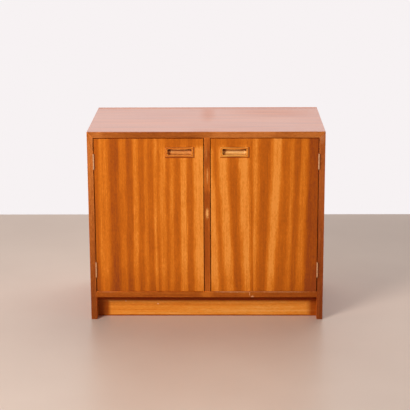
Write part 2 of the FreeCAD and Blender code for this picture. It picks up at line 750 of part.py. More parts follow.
def pull_body(name):
    """A pull: a bowed face plate, a tenon let into the door and a scooped finger cup
    whose ceiling runs up behind the dipping lip, so that fingertips hook over it."""
    body = new_body(name)
    add_pad(body, plate_outline(body), "pull_proud")
    dress_edges(body, "Fillet", name + "_corners", is_plate_corner, Radius="pull_corner")
    add_pad(body, tenon_outline(body, name + "_tenon"), "tenon_depth", reverse=True)
    document.recompute()
    cup = body.newObject("PartDesign::Pocket", name + "_cup")
    cup.Profile = cup_outline(body, name + "_mouth")
    bind(cup, Length="cup_depth")
    dress_edges(body, "Chamfer", name + "_sole", is_sole_edge, Size="sole_chamfer")
    groove = body.newObject("PartDesign::Pocket", name + "_groove")
    groove.Profile = groove_outline(body, name + "_groove_end")
    groove.Midplane = True
    bind(groove, Length="groove_length")
    document.recompute()
    return body


# ------------------------------------------------------------------------ doors
for side in ("left", "right"):
    bay = f"{side}_bay"
    near = "hinge_gap"
    far = f"{bay} - meeting_gap"
    pull = keep(pull_body(f"{side}_pull_body"), f"{side}_pull")
    mortise = new_body(f"{side}_mortise")
    add_pad(mortise, tenon_outline(mortise, f"{side}_mortise_outline"), "tenon_depth", reverse=True)
    for piece in (pull, mortise):
        put(piece, inward(side, f"{far} - pull_inset - pull_width / 2"), "front_y", "pull_z")

    core = bay_box(f"{side}_door_core", side, f"{near} + door_lipping", f"{far} - door_lipping",
                   "front_y", "door_bottom + door_lipping", "door_thick", "door_height - 2 * door_lipping")
    keep(cut(f"{side}_door", core, mortise, door_screws[side], strike_screws[side]),
         f"{side}_door_panel")
    hinge_strip = bay_box(f"{side}_hinge_strip", side, near, f"{near} + door_lipping",
                          "front_y", "door_bottom", "door_thick", "door_height")
    keep(cut(f"{side}_door_hinge", hinge_strip, door_screws[side]), f"{side}_door_hinge_lipping")
    keep(bay_box(f"{side}_meeting_strip", side, f"{far} - door_lipping", far,
                 "front_y", "door_bottom", "door_thick", "door_height"), f"{side}_door_meeting_lipping")
    for end, z in (("bottom", "door_bottom"), ("top", "door_bottom + door_height - door_lipping")):
        keep(bay_box(f"{side}_{end}_strip", side, f"{near} + door_lipping", f"{far} - door_lipping",
                     "front_y", z, "door_thick", "door_lipping"), f"{side}_door_{end}_lipping")


# ------------------------------------------------------------ checks and writing
document.recompute()
for thing in document.Objects:
    if {"Invalid", "Error"} & set(thing.State):
        raise ValueError(f"{thing.Name} did not build: {thing.State}")
for thing in subparts:
    if thing.Shape.isNull() or not thing.Shape.isValid() or not thing.Shape.Solids:
        raise ValueError(f"{thing.Label} has no valid solid")

os.makedirs("parts", exist_ok=True)
for thing in subparts:
    thing.Shape.exportStep(f"parts/{thing.Label}.step")
print(len(subparts), "sub-parts,", sum(len(thing.Shape.Solids) for thing in subparts), "solids")
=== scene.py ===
import math
import random

import bmesh
import bpy
from mathutils import Matrix, Vector


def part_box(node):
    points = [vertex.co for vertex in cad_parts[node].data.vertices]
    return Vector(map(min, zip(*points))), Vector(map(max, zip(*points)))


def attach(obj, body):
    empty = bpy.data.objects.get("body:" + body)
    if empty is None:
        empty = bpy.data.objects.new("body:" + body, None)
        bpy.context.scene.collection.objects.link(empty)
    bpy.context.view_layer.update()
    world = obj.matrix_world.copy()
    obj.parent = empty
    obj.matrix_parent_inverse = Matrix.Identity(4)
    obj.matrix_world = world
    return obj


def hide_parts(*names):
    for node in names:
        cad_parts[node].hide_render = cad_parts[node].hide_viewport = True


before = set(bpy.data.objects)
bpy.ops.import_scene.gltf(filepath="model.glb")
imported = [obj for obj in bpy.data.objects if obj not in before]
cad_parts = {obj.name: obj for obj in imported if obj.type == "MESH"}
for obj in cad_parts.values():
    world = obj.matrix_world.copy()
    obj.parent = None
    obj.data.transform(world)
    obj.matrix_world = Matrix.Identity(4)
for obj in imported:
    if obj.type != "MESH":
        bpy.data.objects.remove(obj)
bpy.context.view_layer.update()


# ---- Side boards and top board
# Blockboard veneered on both faces, the veneer upright on the sides and across the
# top. The ends are mitred and glued over a loose tongue, the outer arrises eased by
# hand, and the back edges rebated for the back panel.
def colour(red, green, blue):
    """A colour off a 0 to 255 colour card, as the linear light that a shader works in."""
    shares = (value / 255 for value in (red, green, blue))
    return (*(share / 12.92 if share <= 0.04045 else ((share + 0.055) / 1.055) ** 2.4 for share in shares), 1)


def fill(item, inputs):
    """Joins each input of a node to the output it is given, or sets it to the value."""
    for key, value in inputs.items():
        if isinstance(value, bpy.types.NodeSocket):
            item.id_data.links.new(value, item.inputs[key])
        else:
            item.inputs[key].default_value = value


def add(kind, inputs, tree=None, **settings):
    """A shader node with its settings made and its inputs filled. Unless told otherwise it
    goes into the tree of an output that it is joined to."""
    tree = tree or next(value.id_data for value in inputs.values() if isinstance(value, bpy.types.NodeSocket))
    item = tree.nodes.new("ShaderNode" + kind)
    for name, value in settings.items():
        setattr(item, name, value)
    fill(item, inputs)
    return item


def sums(operation):
    """A function that does one kind of sum with numbers and the outputs of nodes."""
    return lambda *values: add("Math", dict(enumerate(values)), operation=operation).outputs[0]


plus, minus, times, times_plus = (sums(kind) for kind in ("ADD", "SUBTRACT", "MULTIPLY", "MULTIPLY_ADD"))
larger = sums("MAXIMUM")


def spread(value, low, high, new_low=0.0, new_high=1.0):
    """The value moved from one span to another and kept inside it."""
    spans = {"Value": value, "From Min": low, "From Max": high, "To Min": new_low, "To Max": new_high}
    return add("MapRange", spans).outputs["Result"]


def stir(marks, share, level=0.0):
    """The level moved up and down by a share of how far some marks are from their middle."""
    return times_plus(minus(marks, 0.5), share, level)


def ramp(value, stops, interpolation="LINEAR"):
    """A colour for each position of the value, from a list of positions and colours."""
    item = add("ValToRGB", {"Fac": value})
    item.color_ramp.interpolation = interpolation
    elements = item.color_ramp.elements
    while len(elements) < len(stops):
        elements.new(0.5)
    for element, (position, shade) in zip(elements, stops):
        element.position = position
        element.color = shade if isinstance(shade, tuple) else (shade, shade, shade, 1)
    return item.outputs["Color"]


def mix(share, first, second, blend="MIX"):
    blended = add("Mix", {"Factor": share, 6: first, 7: second}, data_type="RGBA", blend_type=blend)
    return blended.outputs[2]


def spot_of(tree):
    """The place in the cabinet of the spot that is being shaded."""
    return add("TexCoord", {}, tree).outputs["Object"]


def parts_of(spot):
    """The three measures of a place, under the names X, Y and Z."""
    return add("SeparateXYZ", {0: spot}).outputs


def noise(spot, scale, detail):
    return add("TexNoise", {"Vector": spot, "Scale": scale, "Detail": detail}).outputs["Fac"]


def streaks(spot, along, width, length, detail=2.0, seed=0.0):
    """Noise drawn out along the grain, from marks of about that width and length."""
    stretch = [1 / width] * 3
    stretch["xyz".index(along)] = 1 / length
    drawn = add("Mapping", {"Vector": spot, "Location": (seed, seed, seed), "Scale": stretch})
    return noise(drawn.outputs[0], 1.0, detail)


def wear_mask(spot, patches):
    """Soft ragged patches, each by its middle, its half-widths in millimetres and a strength."""
    total, ragged = 0.0, noise(spot, 260.0, 3.0)
    for middle, reach, strength in patches:
        away = spot
        for operation, measures in (("SUBTRACT", middle), ("DIVIDE", reach)):
            away = add("VectorMath", {0: away, 1: Vector(measures) / 1000}, operation=operation).outputs[0]
        away = add("VectorMath", {0: away}, operation="LENGTH").outputs["Value"]
        total = larger(total, spread(stir(ragged, 1.3, away), 1.0, 0.25, 0.0, strength))
    return total


def broad_bands(along, seed, fall=None):
    """The slow change of tone from one part of a board to the next. A fall darkens it
    evenly from one height down to another."""
    def tone(spot):
        level = spread(streaks(spot, along, 0.03, 0.35, 2.0, seed), 0.25, 0.75)
        if fall:
            height = parts_of(spot)["Z"]
            level = plus(times(level, 0.5), spread(height, *fall))
        return level
    return tone


def blank(name):
    """A new material, with its shader and the place of the spot that is shaded."""
    material = bpy.data.materials.new(name)
    material.use_nodes = True
    return material, material.node_tree.nodes["Principled BSDF"], spot_of(material.node_tree)


def surface(shader, shade, rough, relief, strength, depth):
    """Gives a shader its colour, its roughness and a relief of that depth in metres."""
    bump = add("Bump", {"Height": relief, "Strength": strength, "Distance": depth})
    fill(shader, {"Base Color": shade, "Roughness": rough, "Normal": bump.outputs["Normal"]})


# The marks that the grain is made of, fibres last: their width and length in metres, how
# broken they are, what is added to the wood's seed, and how strongly they show.
GRAIN = ((0.008, 0.5, 3.0, 3, 0.55), (0.003, 0.16, 2.0, 5, 0.75), (0.008, 0.03, 2.0, 7, 0.55),
         (0.003, 0.01, 1.0, 8, 0.75), (0.0007, 0.02, 2.0, 9, 0.4))
PORE, PORE_SHARE = (96, 42, 12), 0.3
BARE_WOOD = (238, 176, 122)


def wood(name, along, tones, broad=None, seed=0.0, depth=1.0, rough=(0.36, 0.52), index=1.3, patches=(),
         bare=BARE_WOOD):
    """Finished timber or veneer: broad bands, narrow stripes, short mottles, fibres and
    dark pores along the grain, oiled to a low sheen that the fibres break up."""
    material, shader, spot = blank(name)
    tone = (broad or broad_bands(along, seed))(spot)
    for width, length, detail, shift, strength in GRAIN:
        fibre = streaks(spot, along, width, length, detail, seed + shift)
        tone = stir(fibre, strength * depth, tone)
    shade = ramp(tone, [(position, colour(*card)) for position, card in tones])
    pore = spread(streaks(spot, along, 0.0004, 0.006, 1.0, seed + 13), 0.58, 0.7)
    shade = mix(times(pore, PORE_SHARE * depth), shade, colour(*PORE))
    if patches:
        shade = mix(wear_mask(spot, patches), shade, colour(*bare))
    sheen = spread(fibre, 0.3, 0.7, *rough)
    surface(shader, shade, sheen, times_plus(pore, -1.0, fibre), 0.35, 0.00012)
    shader.inputs["IOR"].default_value = index
    return material


def prism(outline, axis, low, high):
    """A closed prism whose outline runs along an axis between two ends. An end is one
    place, or slopes and gives its place for each corner."""
    order = {"x": (1, 2, 0), "y": (0, 2, 1), "z": (0, 1, 2)}[axis]
    shell = bmesh.new()

    def corner(first, second, end):
        point = [0, 0, 0]
        for slot, value in zip(order, (first, second, end(first, second) if callable(end) else end)):
            point[slot] = value
        return shell.verts.new(point)

    near, far = ([corner(first, second, end) for first, second in outline] for end in (low, high))
    shell.faces.new(near)
    shell.faces.new(reversed(far))
    for number in range(len(outline)):
        after = (number + 1) % len(outline)
        shell.faces.new((near[after], near[number], far[number], far[after]))
    bmesh.ops.recalc_face_normals(shell, faces=shell.faces)
    return shell


SHARP = math.radians(35)


def ease(shell, width, wanted=lambda middle, edge: True, segments=2, material=None):
    """Rubs down the sharp outer edges that are wanted to a small round."""
    edges = [edge for edge in shell.edges
             if edge.is_manifold and edge.is_convex and edge.calc_face_angle(0) > SHARP
             and wanted((edge.verts[0].co + edge.verts[1].co) / 2, edge)]
    rounded_arris = bmesh.ops.bevel(shell, geom=edges, offset=width, offset_type="OFFSET", segments=segments,
                             profile=0.5, affect="EDGES", clamp_overlap=True)
    for face in rounded_arris["faces"]:
        face.smooth = True
        if material is not None:
            face.material_index = material


def mesh_of(name, shell):
    mesh = bpy.data.meshes.new(name)
    shell.to_mesh(mesh)
    shell.free()
    return mesh


def put(name, data):
    """An object in the scene made of a mesh, a lamp or a camera."""
    thing = bpy.data.objects.new(name, data)
    bpy.context.scene.collection.objects.link(thing)
    return thing


def piece_of(name, shell, materials, body, node):
    """A finished piece out of a shell: its finishes, the body it moves with and the node of the
    frame that it stands for."""
    piece = put(name, mesh_of(name, shell))
    for material in materials:
        piece.data.materials.append(material)
    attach(piece, body)
    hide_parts(node)
    return piece


def let_in(piece, *others, operation="DIFFERENCE"):
    """Cuts the housings, mortises or sinkings that other solids need out of a piece, or
    joins them to it. A name stands for a node of the frame."""
    for other in others:
        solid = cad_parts[other] if isinstance(other, str) else other
        cut = piece.modifiers.new(solid.name, "BOOLEAN")
        cut.object, cut.operation, cut.solver = solid, operation, "EXACT"
    worked = piece.evaluated_get(bpy.context.evaluated_depsgraph_get())
    mesh = bpy.data.meshes.new_from_object(worked)
    piece.modifiers.clear()
    piece.data = mesh


SIDE_TONES = [(0.0, (158, 72, 16)), (0.35, (184, 92, 22)), (0.65, (206, 110, 30)), (1.0, (226, 134, 48))]
side_veneer = wood("side_veneer", "z", SIDE_TONES, seed=2.0, index=1.26)
TOP_TONES = [(0.0, (184, 86, 20)), (0.35, (194, 96, 26)), (0.65, (204, 105, 33)), (1.0, (215, 117, 44))]
top_veneer = wood("top_veneer", "x", TOP_TONES, seed=11.0, rough=(0.3, 0.42), index=1.5, depth=0.4)
# The wax lies in clouds. It is thinner where something has stood, along the back arris,
# in a spot at the front and towards the right.
DULLED = [((3, 95, 630), (32, 175, 9), 0.5), ((215, 115, 630), (200, 120, 9), 0.36),
          ((-6, -205, 630), (75, 42, 9), 0.3), ((0, 219, 630), (4000, 40, 9), 0.9)]
tree = top_veneer.node_tree
spot = spot_of(tree)
wax = minus(spread(parts_of(spot)["X"], -0.38, 0.38, 1.03, 0.94), wear_mask(spot, DULLED))
wax = stir(streaks(spot, "x", 0.08, 0.24, 3.0, 5.0), 0.35, wax)
fill(tree.nodes["Principled BSDF"], {"Coat Weight": wax, "Coat Roughness": 0.28, "Coat IOR": 1.6})

BOARD_EASED, REBATE = 0.0006, 0.009
TOUCH = 1e-5  # what counts as lying in a plane, in metres
low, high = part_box("top_panel")
half_width, case_top = high.x, high.z
board_front, board_back = low.y, high.y
thickness = half_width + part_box("left_side_panel")[1].x
top_under, inner_half = case_top - thickness, half_width - thickness
back_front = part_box("back_panel")[0].y


def is_outer(middle, edge):
    """Whether an edge is one of the case's outer arrises or runs round its back."""
    outside = abs(abs(middle.x) - half_width) < TOUCH or abs(middle.z - case_top) < TOUCH
    return (outside or abs(middle.y - board_back) < TOUCH) and middle.y > board_front + TOUCH


def side_mitre(x, y):
    """The height of a side board at a place across its mitred top end."""
    return case_top - (half_width - abs(x))


def top_mitre(y, z):
    """How far from the middle the mitred ends of the top board are at a height."""
    return inner_half + (z - top_under)


for side, sign in (("left", -1), ("right", 1)):
    outer, inner, ledge = sign * half_width, sign * inner_half, sign * (inner_half + REBATE)
    shell = prism([(outer, board_front), (inner, board_front), (inner, back_front), (ledge, back_front),
                   (ledge, board_back), (outer, board_back)], "z", 0.0, side_mitre)
    ease(shell, BOARD_EASED, is_outer)
    board = piece_of(f"{side}_side_board", shell, [side_veneer], "carcass", f"{side}_side_panel")
    let_in(board, "bottom_panel", f"{side}_shelf", "mitre_tongues")

ledge = top_under + REBATE
shell = prism([(board_front, case_top), (board_front, top_under), (back_front, top_under), (back_front, ledge),
               (board_back, ledge), (board_back, case_top)], "x", lambda y, z: -top_mitre(y, z), top_mitre)
ease(shell, BOARD_EASED, is_outer)
board = piece_of("top_board", shell, [top_veneer], "carcass", "top_panel")
let_in(board, "centre_divider", "mitre_tongues")


# ---- Mitre tongues
# Loose strips of plain softwood across both top mitres, glued into stopped grooves so
# that neither end shows.
def even(*cards):
    """Tones from dark to pale, a step apart."""
    return [(number / (len(cards) - 1), card) for number, card in enumerate(cards)]


def dress(node, material):
    """Gives a piece of the frame that stays as it is its own finish."""
    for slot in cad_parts[node].material_slots:
        slot.material = material


SOFT_TONES = even((196, 150, 98), (216, 174, 122), (232, 198, 150))
dress("mitre_tongues", wood("tongue_wood", "y", SOFT_TONES, seed=21.0, depth=0.7, rough=(0.6, 0.75)))


# ---- Bottom board and centre divider
# Of the same veneered blockboard. The bottom is housed into the two sides, and the
# divider that parts the two bays into the top and the bottom.
VENEER_TONES = [(0.0, (152, 66, 18)), (0.35, (178, 86, 22)), (0.65, (198, 102, 28)), (1.0, (220, 126, 44))]
dress("bottom_panel", wood("bottom_veneer", "x", VENEER_TONES, seed=31.0))
dress("centre_divider", wood("divider_veneer", "z", VENEER_TONES, seed=37.0))


# ---- Lippings of the case
# Strips of the solid wood, glued to the front edges of the boards and planed flush.
# Years of hands and knees have rubbed their arrises and left pale worn patches. The arrises'
# paler tones are partly that wear and partly a painted highlight.
def block(low, high):
    """A plain block between two corners."""
    outline = [(low[0], low[1]), (high[0], low[1]), (high[0], high[1]), (low[0], high[1])]
    return prism(outline, "z", low[2], high[2])


LIPPING_EASED = 0.0008
EDGE_TONES = even((176, 64, 8), (204, 84, 14), (224, 106, 26))
# Sides that were planed and left without polish.
UNPOLISHED = {"rough": (0.7, 0.85), "index": 1.12}
# The tone down three strips, by the place in mm along the cabinet's axis.
TOP_RUN = [(-381, 0.55), (-345, 0.9), (-323, 0.5), (-250, 0.25), (-187, 0.15), (-50, 0.3), (-6, 0.52), (33, 0.92),
           (60, 0.98), (110, 0.84), (188, 1.0), (205, 1.0), (227, 0.72), (279, 0.68), (310, 0.92), (381, 0.94)]
BOTTOM_RUN = [(-362, 0.46), (-220, 0.62), (-160, 0.46), (-135, 0.6), (-110, 0.5), (-24, 0.5), (-8, 1.0),
              (12, 0.92), (28, 0.48), (95, 0.44), (120, 0.66), (155, 0.62), (230, 0.48), (320, 0.4), (362, 0.12)]
DIVIDER_RUN = [(98, 0.72), (122, 0.72), (155, 0.56), (200, 0.42), (290, 0.44), (323, 0.54), (380, 0.46),
               (426, 0.36), (442, 0.8), (455, 0.95), (500, 0.9), (520, 0.62), (560, 0.48), (600, 0.95)]
LEFT_TONES = even((138, 62, 14), (176, 92, 28), (212, 124, 54))
RIGHT_TONES = even((130, 56, 13), (158, 75, 23), (189, 101, 41))
MIDDLE_TONES = even((148, 64, 10), (172, 82, 14), (202, 106, 28))
TOP_RAIL_TONES = even((148, 70, 10), (175, 93, 28), (203, 118, 50))
BOTTOM_RAIL_TONES = even((144, 64, 8), (170, 83, 14), (198, 107, 27))


def down_the_strip(along, seed, run):
    """The tone of a strip whose wood goes from pale to dark and back down its length."""
    start, end = run[0][0] / 1000, run[-1][0] / 1000

    def tone(spot):
        place = parts_of(spot)[along.upper()]
        stops = [((mm / 1000 - start) / (end - start), level) for mm, level in run]
        level = minus(ramp(spread(place, start, end), stops), 0.15)
        return times_plus(broad_bands(along, seed)(spot), 0.3, level)
    return tone


def paler(tones, share, lift):
    """Paler tones for rounded arrises, partly the wear of a rubbed finish and partly a painted highlight."""
    return [(place, tuple(min(255, round(part * share + lift)) for part in card)) for place, card in tones]


def lipping(node, shell, axis, tones, seed, broad=None, patches=(), arris_share=1.1, bare=BARE_WOOD):
    """A lipping with its front arrises rubbed round, in the tones of its own strip. The
    sides that face the doors were left without polish."""
    front_y = min(vertex.co.y for vertex in shell.verts)
    for face in shell.faces:
        middle = face.calc_center_median()
        inside = abs(middle.x) < half_width - TOUCH and middle.z < case_top - TOUCH
        if inside and abs(face.normal.y) < 0.5:
            face.material_index = 2
    ease(shell, LIPPING_EASED, lambda middle, edge: middle.y < front_y + TOUCH, 3, 1)
    finishes = [wood(f"{node}_{part}", axis, shades, broad, seed, index=1.24, patches=patches, bare=bare)
                for part, shades in (("wood", tones), ("arris", paler(tones, arris_share, 6)))]
    finishes.append(wood(f"{node}_side", axis, EDGE_TONES, seed=seed, **UNPOLISHED))
    piece_of(f"{node}_strip", shell, finishes, "carcass", node)


low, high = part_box("top_lipping")
shell = prism([(low.y, case_top), (low.y, top_under), (high.y, top_under), (high.y, case_top)], "x",
              lambda y, z: -top_mitre(y, z), top_mitre)
lipping("top_lipping", shell, "x", TOP_RAIL_TONES, 41.0, down_the_strip("x", 41.0, TOP_RUN),
        [((188, -222, 625), (3, 8, 2), 0.5)])
for side, sign, tones in (("left", -1, LEFT_TONES), ("right", 1, RIGHT_TONES)):
    outer, inner, seed = sign * half_width, sign * inner_half, 47.0 + sign
    shell = prism([(outer, low.y), (inner, low.y), (inner, high.y), (outer, high.y)], "z", 0.0, side_mitre)
    lipping(f"{side}_side_lipping", shell, "z", tones, seed, broad_bands("z", seed, (0.02, 0.62, -0.1, 0.65)),
            [((371, -220, 612), (14, 8, 26), 0.35)])
# Its arrises are paler still and long pale patches run along its top edge: partly worn finish, partly a painted
# highlight that lightens the shade of the gap above.
lipping("bottom_lipping", block(*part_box("bottom_lipping")), "x", BOTTOM_RAIL_TONES, 53.0,
        down_the_strip("x", 53.0, BOTTOM_RUN),
        [((141, -216, 88), (1.6, 6, 9), 0.8), ((150, -218, 79), (6, 6, 5), 1.0),
         ((-325, -216, 96), (40, 5, 2.6), 0.3), ((90, -216, 96), (90, 5, 3.0), 0.8),
         ((240, -216, 96), (140, 5, 2.8), 0.65)], arris_share=1.3)
lipping("divider_lipping", block(*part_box("divider_lipping")), "z", MIDDLE_TONES, 59.0,
        down_the_strip("z", 59.0, DIVIDER_RUN),
        [((4, -216, 486), (3, 6, 32), 0.6), ((3, -216, 362), (6, 6, 22), 1.0), ((1, -216, 560), (4, 6, 30), 0.2)],
        bare=(248, 176, 98))


# ---- Back panel
# Thin birch-faced plywood, lying in the rebates and held by slotted countersunk
# screws, each in its own sinking.
def smooth(shell, sharp):
    """Turns a shell's faces outward and shades them smooth but for its sharp edges."""
    bmesh.ops.recalc_face_normals(shell, faces=shell.faces)
    for face in shell.faces:
        face.smooth = True
    for edge in shell.edges:
        edge.smooth = edge.calc_face_angle(0) < sharp


def lathe(profile, segments=24):
    """A round solid about Z, from radii and heights that start and end on the axis."""
    shell = bmesh.new()
    turns = [2 * math.pi * number / segments for number in range(segments)]
    rings = []
    for radius, height in profile:
        rings.append([shell.verts.new((radius * math.cos(turn), radius * math.sin(turn), height))
                      for turn in (turns if radius else (0,))])
    for inner, outer in zip(rings, rings[1:]):
        for number in range(segments):
            after = (number + 1) % segments
            corners = [inner[number % len(inner)], inner[after % len(inner)], outer[after % len(outer)],
                       outer[number % len(outer)]]
            shell.faces.new(list(dict.fromkeys(corners)))
    smooth(shell, SHARP)
    return shell


def loose(name, shell):
    """A tool or a pattern piece that is used and then thrown away."""
    return put(name, mesh_of(name, shell))


def discard(*tools):
    for tool in tools:
        bpy.data.objects.remove(tool)


def add_copy(shell, mesh, place):
    """Adds a copy of a mesh to a shell, moved to its place."""
    copy = mesh.copy()
    copy.transform(place)
    shell.from_mesh(copy)
    bpy.data.meshes.remove(copy)


# A head's sharp rim is this thick, and a hole is this much wider than its screw.
RIM, PLAY = 0.00015, 0.00012


def slotted_screw(name, radius, head, length):
    """The mesh of a countersunk screw: a flat head with a slot, a core and its point."""
    screw = loose(name, lathe([(0, 0), (head - RIM, 0), (head, -RIM), (radius, radius - head - RIM),
                               (radius * 0.9, -length * 0.75), (0, -length)]))
    long, wide, deep = head * 1.2, head * 0.13, head * 0.35
    slot = loose(name + "_slot", block((-long, -wide, -deep), (long, wide, head)))
    let_in(screw, slot)
    mesh = screw.data
    discard(screw, slot)
    return mesh


def sink(piece, screw, places):
    """Cuts the holes for countersunk screws out of a piece."""
    radius, head, length = screw
    hole = loose("hole", lathe([(0, 0.001), (head + PLAY + 0.001, 0.001), (radius + PLAY, radius - head),
                                (radius + PLAY, -length), (0, -length)], 32))
    shell = bmesh.new()
    for place in places:
        add_copy(shell, hole.data, place)
    drill = loose("drill", shell)
    let_in(piece, drill)
    discard(hole, drill)


def heads_of(node):
    """Each screw of a frame node, by the middle of its flat head and the way it points."""
    solid = bmesh.new()
    solid.from_mesh(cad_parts[node].data)
    bmesh.ops.remove_doubles(solid, verts=solid.verts, dist=1e-6)
    left = set(solid.verts)
    places = []
    while left:
        island, waiting = set(), [left.pop()]
        while waiting:
            vertex = waiting.pop()
            island.add(vertex)
            neighbours = (edge.other_vert(vertex) for edge in vertex.link_edges)
            waiting += [other for other in neighbours if other not in island]
        left -= island
        normals = {}
        for face in {face for vertex in island for face in vertex.link_faces}:
            key = tuple(round(part, 2) for part in face.normal)
            normals.setdefault(key, []).append(face)
        extent = max(range(3), key=lambda i: max(v.co[i] for v in island) - min(v.co[i] for v in island))
        _, key, group = max((sum(face.calc_area() for face in group), key, group)
                            for key, group in normals.items() if abs(key[extent]) > 0.99)
        corners = {vertex for face in group for vertex in face.verts}
        places.append((sum((vertex.co for vertex in corners), Vector()) / len(corners), Vector(key)))
    solid.free()
    return sorted(places, key=lambda place: tuple(round(part, 4) for part in place[0]))


def placed(middle, outward, turn=0.0):
    """The transform that stands a screw made about Z on its spot, turned about itself."""
    turned = outward.to_track_quat("Z", "Y").to_matrix().to_4x4()
    return Matrix.Translation(middle) @ turned @ Matrix.Rotation(turn, 4, "Z")


shuffle = random.Random(7)


def screws(name, node, pattern, material, body):
    """All the screws of a frame node, each slot stopped at its own angle."""
    shell = bmesh.new()
    places = [placed(*head, shuffle.uniform(0, math.pi)) for head in heads_of(node)]
    for place in places:
        add_copy(shell, pattern, place)
    piece_of(name, shell, [material], body, node)
    return places


def metal(name, card, worn, rough):
    """Plated or plain metal with fine scratches and dulled patches."""
    material, shader, spot = blank(name)
    dull = noise(spot, 180.0, 4.0)
    scratches = streaks(spot, "z", 1 / 900, 0.012, 2.0, 4.0)
    shade = mix(spread(dull, 0.4, 0.65), colour(*card), colour(*worn))
    gloss = stir(scratches, 0.3, spread(dull, 0.3, 0.7, *rough))
    surface(shader, shade, gloss, scratches, 0.2, 0.00005)
    shader.inputs["Metallic"].default_value = 1.0
    return material


zinc = metal("zinc_plating", (206, 208, 206), (160, 160, 156), (0.3, 0.5))
PLY_TONES = even((198, 146, 88), (218, 170, 112), (234, 194, 140))
plywood = wood("back_plywood", "z", PLY_TONES, seed=61.0, depth=0.8, rough=(0.55, 0.7))
# A screw by half its thickness, half its head's width and its length, in metres.
BACK_SCREW = (0.0016, 0.0032, 0.020)
shell = block(*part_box("back_panel"))
ease(shell, 0.0003)
panel = piece_of("back_board", shell, [plywood], "carcass", "back_panel")
back_screw = slotted_screw("back_screw", *BACK_SCREW)
sink(panel, BACK_SCREW, screws("back_screws", "back_panel_screws", back_screw, zinc, "carcass"))


# ---- Plinth
# A board set well back between the sides, its grain running across, paler than the
# case; behind it a rail under the back and short glue blocks, left as sawn.
PLINTH_TONES = [(0.0, (202, 104, 22)), (0.3, (219, 121, 31)), (0.6, (234, 142, 46)), (0.8, (240, 154, 60)),
                (1.0, (246, 168, 80))]


def plinth_tone_and_painted_glow(spot):
    """Bands and streaks, with painted light that makes it paler towards the foot."""
    tone = times_plus(broad_bands("x", 67.0)(spot), 0.3, -0.1)
    tone = times_plus(streaks(spot, "x", 0.009, 0.6, 2.0, 69.0), 1.05, tone)
    return plus(tone, spread(parts_of(spot)["Z"], 0.05, 0.0, 0.04, 0.16))


plinth_wood = wood("plinth_wood", "x", PLINTH_TONES, plinth_tone_and_painted_glow, 67.0, depth=0.6, index=1.2,
                   patches=[((-269, -179, 51), (2.5, 3, 2.5), 0.9), ((-162, -179, 42), (4, 3, 2.2), 0.9)],
                   bare=(252, 216, 168))
# Painted shade darkens it where shade falls: a painted shadow right up under the rail and
# beside the left side, a painted contact shade along the floor and painted shade in the
# corner by the right side. Each has the place where it starts, the place where it is full,
# and its strength.
tree = plinth_wood.node_tree
shader = tree.nodes["Principled BSDF"]
unshaded = shader.inputs["Base Color"].links[0].from_socket
parts = parts_of(spot_of(tree))
PAINTED_SHADE = [("Z", 0.048, 0.0565, 1.0), ("Z", 0.0055, 0.0025, 1.0), ("X", -0.318, -0.329, 0.86),
         ("X", 0.329, 0.3475, 0.88)]
painted_shade = 0.0
for part, clear, full, strength in PAINTED_SHADE:
    painted_shade = larger(painted_shade, spread(parts[part], clear, full, 0.0, strength))
# The painted shade multiplies the colour by a dark brown.
fill(shader, {"Base Color": mix(painted_shade, unshaded, colour(165, 114, 8), "MULTIPLY")})
dress("plinth_board", plinth_wood)
SAWN = {"depth": 0.8, "rough": (0.6, 0.75)}
dress("rear_plinth_rail", wood("rail_wood", "x", SOFT_TONES, seed=71.0, **SAWN))
dress("plinth_glue_blocks", wood("block_wood", "x", SOFT_TONES, seed=73.0, **SAWN))


# ---- Shelves and record partitions
# A fixed shelf in each bay, housed into its neighbours and lipped, and below it two
# thin partitions with rounded noses, let into grooves, that keep the records upright.
PARTITION_TONES = even((168, 100, 52), (190, 120, 66), (208, 142, 84))
partition_wood = wood("partition_wood", "z", PARTITION_TONES, seed=83.0)
NOSE = 0.0026
for side, seed in (("left", 76.0), ("right", 79.0)):
    dress(f"{side}_shelf", wood(f"{side}_shelf_veneer", "x", VENEER_TONES, seed=seed))
    node = f"{side}_shelf_lipping"
    lipping(node, block(*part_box(node)), "x", BOTTOM_RAIL_TONES, seed + 1)
    for number in (1, 2):
        node = f"{side}_record_partition_{number}"
        low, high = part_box(node)

        def at_nose(middle, edge):
            return middle.y < low.y + TOUCH and min(middle.x - low.x, high.x - middle.x) < TOUCH

        shell = block(low, high)
        ease(shell, NOSE, at_nose, 4)
        piece_of(node + "_board", shell, [partition_wood], "carcass", node)


# ---- Magnetic catches
# A brown moulded body screwed up under the top near the divider, with two steel pole
# plates that stand proud of it and take the strike plate on the door.
SMALL_SCREW = (0.0014, 0.0026, 0.014)
small_screw = slotted_screw("small_screw", *SMALL_SCREW)


def moulded(name, card, rough):
    """Moulded plastic with a fine spark grain."""
    material, shader, spot = blank(name)
    grain = noise(spot, 2600.0, 2.0)
    pale = tuple(min(255, part + 14) for part in card)
    shade = mix(spread(noise(spot, 60.0, 3.0), 0.35, 0.65), colour(*card), colour(*pale))
    surface(shader, shade, spread(grain, 0.3, 0.7, *rough), grain, 0.3, 0.00008)
    return material


